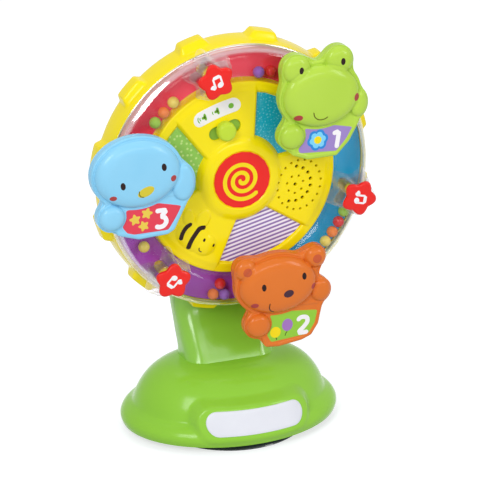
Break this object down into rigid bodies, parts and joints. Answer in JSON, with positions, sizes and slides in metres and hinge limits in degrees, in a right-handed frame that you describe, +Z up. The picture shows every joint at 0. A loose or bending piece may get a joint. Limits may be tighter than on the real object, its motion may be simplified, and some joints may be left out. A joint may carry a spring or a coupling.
{
  "type": "baby spinner toy",
  "caption": "Suction-cup stand with a hand-spun wheel that carries swinging animals, star buttons, a volume slide and loose beads under a clear ring.",
  "frame": {"origin": "centre of the suction cup's rim, on the plane that grips the table", "axes": "+X to the child's right, +Y back from the wheel to the neck, +Z up"},
  "size_m": [0.1986, 0.1145, 0.2701],
  "materials": {
    "smoke_rubber": "soft, dark, half clear",
    "base_green": "glossy moulded",
    "screw_steel": "zinc plated",
    "label_grey": "pale, smooth",
    "neck_green": "glossy moulded",
    "axle_steel": "drawn rod",
    "wheel_yellow": "glossy moulded",
    "console_yellow": "glossy moulded",
    "bush_white": "acetal",
    "clear": "clear moulded",
    "star_red": "glossy",
    "label_white": "printed film",
    "knob_green": "glossy moulded",
    "black_part": "component case",
    "board_green": "glass-fibre board",
    "lamp": "clear lens",
    "battery_case": "plain wrap",
    "post_yellow": "glossy moulded",
    "panel_teal": "printed film",
    "panel_green": "printed film",
    "panel_stripes": "printed film with purple stripes",
    "tray_red": "glossy moulded",
    "tray_purple": "glossy moulded",
    "tray_blue": "glossy moulded",
    "frog_green": "glossy moulded",
    "card_cream": "printed card",
    "bird_blue": "glossy moulded",
    "bear_orange": "glossy moulded",
    "bead_mixed": "glossy, several colours"
  },
  "bodies": {
    "stand": {"suction_cup": "smoke_rubber", "base_plate": "base_green", "base_screws": "screw_steel", "base_cover": "base_green", "label_plate": "label_grey", "neck_front": "neck_green", "neck_rear": "neck_green", "neck_screws": "screw_steel", "axle": "axle_steel", "axle_clip": "axle_steel"},
    "wheel": {"console_screws": "screw_steel", "rear_shell": "wheel_yellow", "battery_door": "wheel_yellow", "console_front": "console_yellow", "wheel_bush": "bush_white", "clear_cover": "clear", "star_towers": "clear", "hanger_towers": "clear", "spiral_disc": "star_red", "volume_label": "label_white", "volume_switch": "black_part", "song_chip": "black_part", "motion_switch": "black_part", "speaker": "black_part", "star_switches": "black_part", "circuit_board": "board_green", "star_boards": "board_green", "star_leds": "lamp", "batteries": "battery_case", "battery_contacts": "screw_steel", "hanger_posts": "post_yellow", "hanger_caps": "post_yellow", "panel_teal": "panel_teal", "panel_green": "panel_green", "panel_stripes": "panel_stripes", "tray_red": "tray_red", "tray_purple": "tray_purple", "tray_blue": "tray_blue"},
    "star_button_1": {"star_cap_1": "star_red", "star_stem_1": "wheel_yellow"},
    "star_button_2": {"star_cap_2": "star_red", "star_stem_2": "wheel_yellow"},
    "star_button_3": {"star_cap_3": "star_red", "star_stem_3": "wheel_yellow"},
    "volume_slider": {"volume_knob": "knob_green"},
    "frog": {"frog_front": "frog_green", "frog_rear": "frog_green", "frog_card": "card_cream"},
    "bird": {"bird_front": "bird_blue", "bird_rear": "bird_blue", "bird_card": "card_cream"},
    "bear": {"bear_front": "bear_orange", "bear_rear": "bear_orange", "bear_card": "card_cream"},
    "beads_red_right": {"beads_red_right": "bead_mixed"},
    "beads_red_left": {"beads_red_left": "bead_mixed"},
    "beads_blue": {"beads_blue": "bead_mixed"},
    "beads_purple_right": {"beads_purple_right": "bead_mixed"},
    "beads_purple_left": {"beads_purple_left": "bead_mixed"}
  },
  "joints": [
    {"name": "wheel_spin", "type": "hinge", "parent": "stand", "child": "wheel", "pos_m": [0, 0, 0.17615], "axis": [0, -1, 0], "continuous": true},
    {"name": "frog_swing", "type": "hinge", "parent": "wheel", "child": "frog", "pos_m": [0.05164, -0.03425, 0.23191], "axis": [0, -1, 0], "continuous": true},
    {"name": "bird_swing", "type": "hinge", "parent": "wheel", "child": "bird", "pos_m": [-0.07411, -0.03425, 0.19299], "axis": [0, -1, 0], "continuous": true},
    {"name": "bear_swing", "type": "hinge", "parent": "wheel", "child": "bear", "pos_m": [0.02247, -0.03425, 0.10355], "axis": [0, -1, 0], "continuous": true},
    {"name": "star_press_1", "type": "slide", "parent": "wheel", "child": "star_button_1", "axis": [0, 1, 0], "range_m": [0, 0.002], "stiffness_N_per_m": 600},
    {"name": "star_press_2", "type": "slide", "parent": "wheel", "child": "star_button_2", "axis": [0, 1, 0], "range_m": [0, 0.002], "stiffness_N_per_m": 600},
    {"name": "star_press_3", "type": "slide", "parent": "wheel", "child": "star_button_3", "axis": [0, 1, 0], "range_m": [0, 0.002], "stiffness_N_per_m": 600},
    {"name": "volume_slide", "type": "slide", "parent": "wheel", "child": "volume_slider", "axis": [0.9553, 0, 0.2957], "range_m": [-0.006, 0.006]},
    {"name": "roll_red_right", "type": "hinge", "parent": "wheel", "child": "beads_red_right", "pos_m": [0, 0, 0.17615], "axis": [0, -1, 0], "range_deg": [-18, 22]},
    {"name": "roll_red_left", "type": "hinge", "parent": "wheel", "child": "beads_red_left", "pos_m": [0, 0, 0.17615], "axis": [0, -1, 0], "range_deg": [-15, 19]},
    {"name": "roll_blue", "type": "hinge", "parent": "wheel", "child": "beads_blue", "pos_m": [0, 0, 0.17615], "axis": [0, -1, 0], "range_deg": [-26, 8]},
    {"name": "roll_purple_right", "type": "hinge", "parent": "wheel", "child": "beads_purple_right", "pos_m": [0, 0, 0.17615], "axis": [0, -1, 0], "range_deg": [-25, 18]},
    {"name": "roll_purple_left", "type": "hinge", "parent": "wheel", "child": "beads_purple_left", "pos_m": [0, 0, 0.17615], "axis": [0, -1, 0], "range_deg": [-38, 8]}
  ]
}
